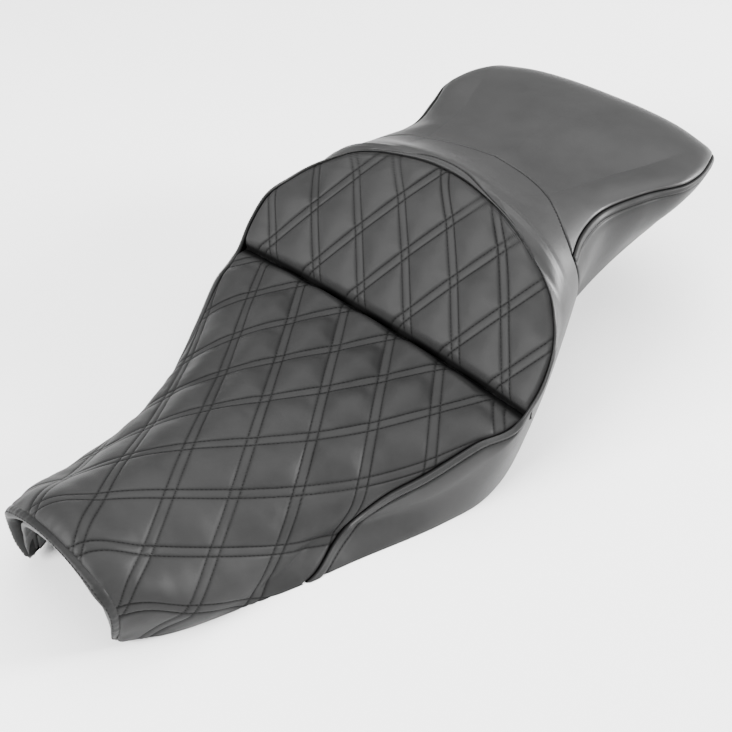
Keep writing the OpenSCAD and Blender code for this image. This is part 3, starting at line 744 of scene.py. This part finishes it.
# Passenger panels.
share = np.linspace(-1, 1, 231)
front_y = curve(HUMP_SEAM, np.abs(share) * UPRIGHT_T)
advance = np.sin(np.radians(90 * np.linspace(0, 1, 190)**1.15))
passenger_y = mix(front_y[None] + 0.1, TAIL_Y - 0.2, advance[:, None])
passenger_t = share[None] * (curve(PASSENGER_SEAM, passenger_y) - 0.003)
base, normals = surface(passenger_y, passenger_t)
to_front = along_columns(base)
to_side = edge_distance(base)
relief = 1.8 * smooth(to_front, 2, 40) * smooth(to_side, 4, 60) - roll_down(to_front, 1.4, 3.0)
relief = relief - roll_down(to_side, 1.4, 3.0)
# Painted shade: darker along the front and side seams.
dark = 1 - smooth(np.minimum(to_front, to_side), 0, 1.0)
under_tail = np.where((to_front[-1:] - to_front < 6)[..., None], np.array([0.0, -1.0, -0.1]), -normals)
cover_piece("passenger_top", base + normals * relief[..., None], under_tail, ["passenger_top_panel"],
            PLAIN_VINYL, dark)
tail_rows = TAIL_START + (TAIL_Y - 0.2 - TAIL_START) * np.sin(np.radians(np.linspace(0, 90, 50)))
side_rows = np.concatenate([np.arange(UPRIGHT_Y + 0.1, TAIL_START, 1.6), tail_rows])
down = np.concatenate([np.linspace(0, 0.2, 24), np.linspace(0.2, 1, 34)[1:]])
for side, word in ((1, "left"), (-1, "right")):
    side_y = side_rows[:, None] + 0 * down[None]
    side_place = side * mix(curve(PASSENGER_SEAM, side_rows)[:, None] + 0.004, 3.0, down[None])
    base, normals = surface(side_y, side_place)
    run = along_rows(base)
    relief = welt(run, 0.7, 1.3) * (1 - smooth(side_y, 322, 338)) - roll_down(along_columns(base), 1.4, 3.0)
    points = base + normals * relief[..., None]
    # Painted shade: darker at the top seam, in the topstitch groove and at the front edge.
    dark = np.maximum(1 - smooth(run, 0, 1.2), 0.5 * np.exp(-((run - TOPSTITCH + 0.4) / 0.9)**2))
    dark = np.maximum(dark, 1 - smooth(along_columns(base), 0, 1.3))
    inward = np.where((side_y > 334)[..., None], np.array([0.0, -1.0, 0.0]), -normals)
    # The side panels take the darker side vinyl as painted shade.
    cover_piece(f"passenger_side_{word}", points, inward, [f"passenger_side_{word}"], SHADED_SIDE_VINYL, dark,
                flip=side < 0)
    seam_rows.append(row_at(points, normals, run, TOPSTITCH - 0.4))

# Nose band, rolled round the front edge and tucked in at both ends.
places = np.linspace(-2.995, 2.995, 300)
base, normals = surface(np.full(places.shape, NOSE_Y), places)
angles = np.radians(np.linspace(-60, 235, 34))
tuck = smooth(np.abs(places), 2.5, 3.0)[:, None]
tip = np.sqrt(np.maximum(1 - (np.maximum(np.abs(places) - 2.9, 0) / 0.0955)**2, 0))[:, None]
thick = 0.86 * BAND_R * (1 - 0.3 * tuck) * tip
run = np.concatenate([[0], np.cumsum(np.linalg.norm(np.diff(base, axis=0), axis=1))])
gather = 0.16 * np.sin(run * 2 * math.pi / 7.3) * np.sin(run * 2 * math.pi / 31.0 + 1)
middle = base - normals * BAND_R * 0.66
middle[:, 0] -= (np.sign(places)[:, None] * 1.5 * tuck)[:, 0]
forward = np.array([0.0, -1.0, 0.0])
ring = (np.cos(angles)[None, :, None] * normals[:, None] * (thick * 0.78 + gather[:, None])[..., None]
        + np.sin(angles)[None, :, None] * forward[None, None] * thick[..., None])
band_points = middle[:, None] + ring
band_points[..., 2] = np.maximum(band_points[..., 2], 0.4)
nose_band = make_mesh("nose_band", band_points, grid_quads(*band_points.shape[:2])[:, ::-1])
# Painted shade: the band takes the darker side vinyl.
nose_band.data.materials.append(SHADED_SIDE_VINYL)
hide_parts("nose_band")
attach(nose_band, "root")
kept = np.abs(places) < 2.88
turned = math.radians(52)
outward = unit(math.cos(turned) * normals + math.sin(turned) * forward)
band_line = middle + normals * thick * 0.78 * math.cos(turned) + forward * thick * math.sin(turned)
seam_rows.append((band_line[kept], outward[kept]))

quilt_stitches = stitch_piece("quilt_stitches", quilt_rows, THREAD)
seam_stitches = stitch_piece("seam_stitches", seam_rows, THREAD)

# ---------------------------------------------------------------------------
# Pan, lining and hems
# ---------------------------------------------------------------------------
PAN_T, PAN_INSET, RIM_INSET = 3.0, 12.0, 3.2


def pan_point(y, t, depth):
    """The pan follows the outer section, squeezed under the foam; depth goes down through it."""
    y, t = np.broadcast_arrays(np.asarray(y, float), np.asarray(t, float))
    u = np.clip((y - TAIL_START) / (TAIL_Y - TAIL_START), 0, 1)
    keep = np.maximum(1 - u**TAIL_ROUND, 0)**(1 / TAIL_ROUND)
    narrow = 0.83 + 0.17 * keep
    top = mix(TAIL_Z, np.where(y <= CREASE_Y, curve(CROWN_FRONT, y), curve(CROWN_REAR, y)), keep)
    wide, low, foot = curve(WIDEST_X, y) * narrow, np.maximum(curve(EDGE_Z, y), 0), curve(EDGE_X, y)
    arch = curve(ARCH_H, y)
    squeeze = arch / np.maximum(top - low, 1)
    inner = (foot + np.maximum(wide - foot, 0) * squeeze * 0.7 - PAN_INSET - depth) / np.maximum(wide, foot)
    rim = (foot - RIM_INSET - depth) / foot
    across = np.where(np.abs(t) <= 2, inner, mix(inner, rim, np.clip(np.abs(t), 2, 3) - 2))
    point = section(y, t)
    height = np.maximum(np.minimum(arch, top - low - 12) - depth, 0.4)
    z = np.maximum(low + (point[..., 2] - low) * height / np.maximum(top - low, 1), low)
    return np.stack([point[..., 0] * across, point[..., 1], z], -1)


def closed_sheet(name, over, under, material):
    """A closed solid between two grids of points."""
    n, m = over.shape[:2]
    border = np.concatenate([np.arange(m), np.arange(1, n) * m + m - 1,
                             (n - 1) * m + np.arange(m - 2, -1, -1), np.arange(n - 2, 0, -1) * m])
    after = np.roll(border, -1)
    wall = np.stack([after, border, border + n * m, after + n * m], -1)
    quads = np.concatenate([grid_quads(n, m), grid_quads(n, m, n * m)[:, ::-1], wall])
    piece = make_mesh(name, np.concatenate([over.reshape(-1, 3), under.reshape(-1, 3)]), quads)
    piece.data.materials.append(material)
    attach(piece, "root")
    return piece


def pan_sheet(name, y, t, depth, thick, material):
    """A sheet under the pan's surface, from one depth to another."""
    return closed_sheet(name, pan_point(y, t, depth), pan_point(y, t, depth + thick), material)


# ---------------------------------------------------------------------------
# CAD nodes that stay
# ---------------------------------------------------------------------------
PLASTIC = plain("pan_plastic", grey(0.020), grey(0.030), 0.55, 1400.0, 0.25)
FELT = plain("lining_felt", grey(0.022), grey(0.040), 0.92, 900.0, 0.6)
FOAM = plain("moulded_foam", (0.42, 0.36, 0.22), (0.52, 0.46, 0.30), 0.95, 600.0, 0.5)
GEL = plain("gel_sheet", (0.05, 0.12, 0.35), (0.07, 0.16, 0.42), 0.25, 200.0, 0.1)
BACKING = plain("cover_backing", grey(0.045), grey(0.070), 0.9, 1100.0, 0.5)
TAPE = plain("woven_tape", grey(0.30), grey(0.40), 0.9, 1000.0, 0.5)
ZINC = plain("zinc_steel", grey(0.52), grey(0.62), 0.32, 900.0, 0.08, metallic=1.0)
COATED = plain("coated_steel", grey(0.018), grey(0.026), 0.40, 700.0, 0.15)
RUBBER = plain("bumper_rubber", grey(0.016), grey(0.024), 0.75, 800.0, 0.25)
FINISH = {
    "base_pan": PLASTIC, "pan_lining": FELT, "foam_core": FOAM, "driver_gel_pad": GEL,
    "passenger_gel_pad": GEL, "crease_listing": TAPE, "cover_hem_left": BACKING,
    "cover_hem_right": BACKING, "hem_staples": ZINC, "front_tongue": COATED, "rear_bracket": COATED,
}
for node_name, node_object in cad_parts.items():
    finish = FINISH.get(node_name, ZINC if "rivet" in node_name else RUBBER)
    if node_object.hide_render:
        continue
    node_object.data.materials.clear()
    node_object.data.materials.append(finish)

hem_rows = np.linspace(NOSE_Y + 12, TAIL_START - 2, 230)[:, None]
for side, word in ((1, "left"), (-1, "right")):
    ragged = 2.40 + 0.03 * np.sin(hem_rows / 9.0) + 0.02 * np.sin(hem_rows / 3.7)
    reach = mix(ragged, 2.965, np.linspace(0, 1, 14)[None])
    across = side * (reach if side > 0 else reach[:, ::-1])
    hem = pan_sheet(f"hem_{word}", hem_rows, across, PAN_T + 0.3, 1.2, BACKING)
    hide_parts(f"cover_hem_{word}")
foam_rows = np.linspace(NOSE_Y + 8, TAIL_Y - 22, 120)[:, None]
foam_across = np.linspace(-2.3, 2.3, 90)[None]
over = surface(foam_rows + 0 * foam_across, foam_across + 0 * foam_rows)
under = pan_point(foam_rows, foam_across, -0.5)
foam = closed_sheet("foam", mix(over[0] - over[1] * 7.5, under, 0.35), under, FOAM)
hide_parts("foam_core")
tail_turn = mix(TAIL_START, TAIL_Y - 0.2, np.sin(np.radians(np.linspace(0, 90, 30))))
pan_rows = np.concatenate([np.linspace(NOSE_Y, TAIL_START, 260), tail_turn[1:]])[:, None]
pan = pan_sheet("pan", pan_rows, np.linspace(-3, 3, 140)[None], 0.0, PAN_T, PLASTIC)
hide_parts("base_pan")
lining_rows = pan_rows[(pan_rows[:, 0] > -289) & (pan_rows[:, 0] < 264)]
lining = pan_sheet("lining", lining_rows, np.linspace(-2.1, 2.1, 110)[None], PAN_T + 0.4, 1.0, FELT)
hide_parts("pan_lining")

# ---------------------------------------------------------------------------
# Floor, light and camera
# ---------------------------------------------------------------------------
floor_mesh = bpy.data.meshes.new("floor")
FLOOR_HALF = 6.0
floor_corners = [(x * FLOOR_HALF, y * FLOOR_HALF, 0) for x, y in ((-1, -1), (1, -1), (1, 1), (-1, 1))]
floor_mesh.from_pydata(floor_corners, [], [(0, 1, 2, 3)])
floor = bpy.data.objects.new("floor", floor_mesh)
bpy.context.scene.collection.objects.link(floor)
floor_material, floor_tree, floor_shader = node_material("pale_floor")
floor_grain = noise_node(floor_tree, floor_tree.nodes.new("ShaderNodeTexCoord").outputs["Object"], 3.0)
floor_tree.links.new(ramp_node(floor_tree, floor_grain, [(0.3, grey(0.93)), (0.7, grey(0.95))]),
                     floor_shader.inputs["Base Color"])
floor_shader.inputs["Roughness"].default_value = 0.9
floor_shader.inputs["Specular IOR Level"].default_value = 0.1
floor_mesh.materials.append(floor_material)


def area_light(name, place, target, size, power):
    data = bpy.data.lights.new(name, "AREA")
    data.shape = "RECTANGLE"
    data.size, data.size_y = size
    data.energy = power
    light = bpy.data.objects.new(name, data)
    light.location = place
    light.rotation_euler = (Vector(target) - Vector(place)).to_track_quat("-Z", "Y").to_euler()
    bpy.context.scene.collection.objects.link(light)
    return light


MIDDLE = (0, 0, 0.1)
area_light("nose_softbox", (-0.4, -2.3, 1.35), MIDDLE, (1.5, 1.1), 210)
area_light("overhead", (-0.2, 0.5, 2.4), MIDDLE, (2.6, 2.6), 125)
area_light("tail_rim", (1.7, 1.9, 0.9), (0.1, 0.3, 0.14), (0.8, 0.8), 260)
world = bpy.data.worlds.new("studio")
world.use_nodes = True
world.node_tree.nodes["Background"].inputs["Color"].default_value = (1, 1, 1, 1)
world.node_tree.nodes["Background"].inputs["Strength"].default_value = 0.75
bpy.context.scene.world = world

AZIMUTH, ELEVATION, FOCAL = math.radians(43.19), math.radians(42.06), 54.05
back = Vector((math.sin(AZIMUTH) * math.cos(ELEVATION), -math.cos(AZIMUTH) * math.cos(ELEVATION),
               math.sin(ELEVATION)))
target = Vector((0, (-21 + SHIFT_Y) * MM, 27.9 * MM))
camera_data = bpy.data.cameras.new("camera")
camera_data.lens = FOCAL
camera_data.sensor_width = 36
camera = bpy.data.objects.new("camera", camera_data)
camera.location = target + back * 0.9749
camera.rotation_euler = (-back).to_track_quat("-Z", "Y").to_euler()
bpy.context.scene.collection.objects.link(camera)
bpy.context.scene.camera = camera

bpy.context.view_layer.update()
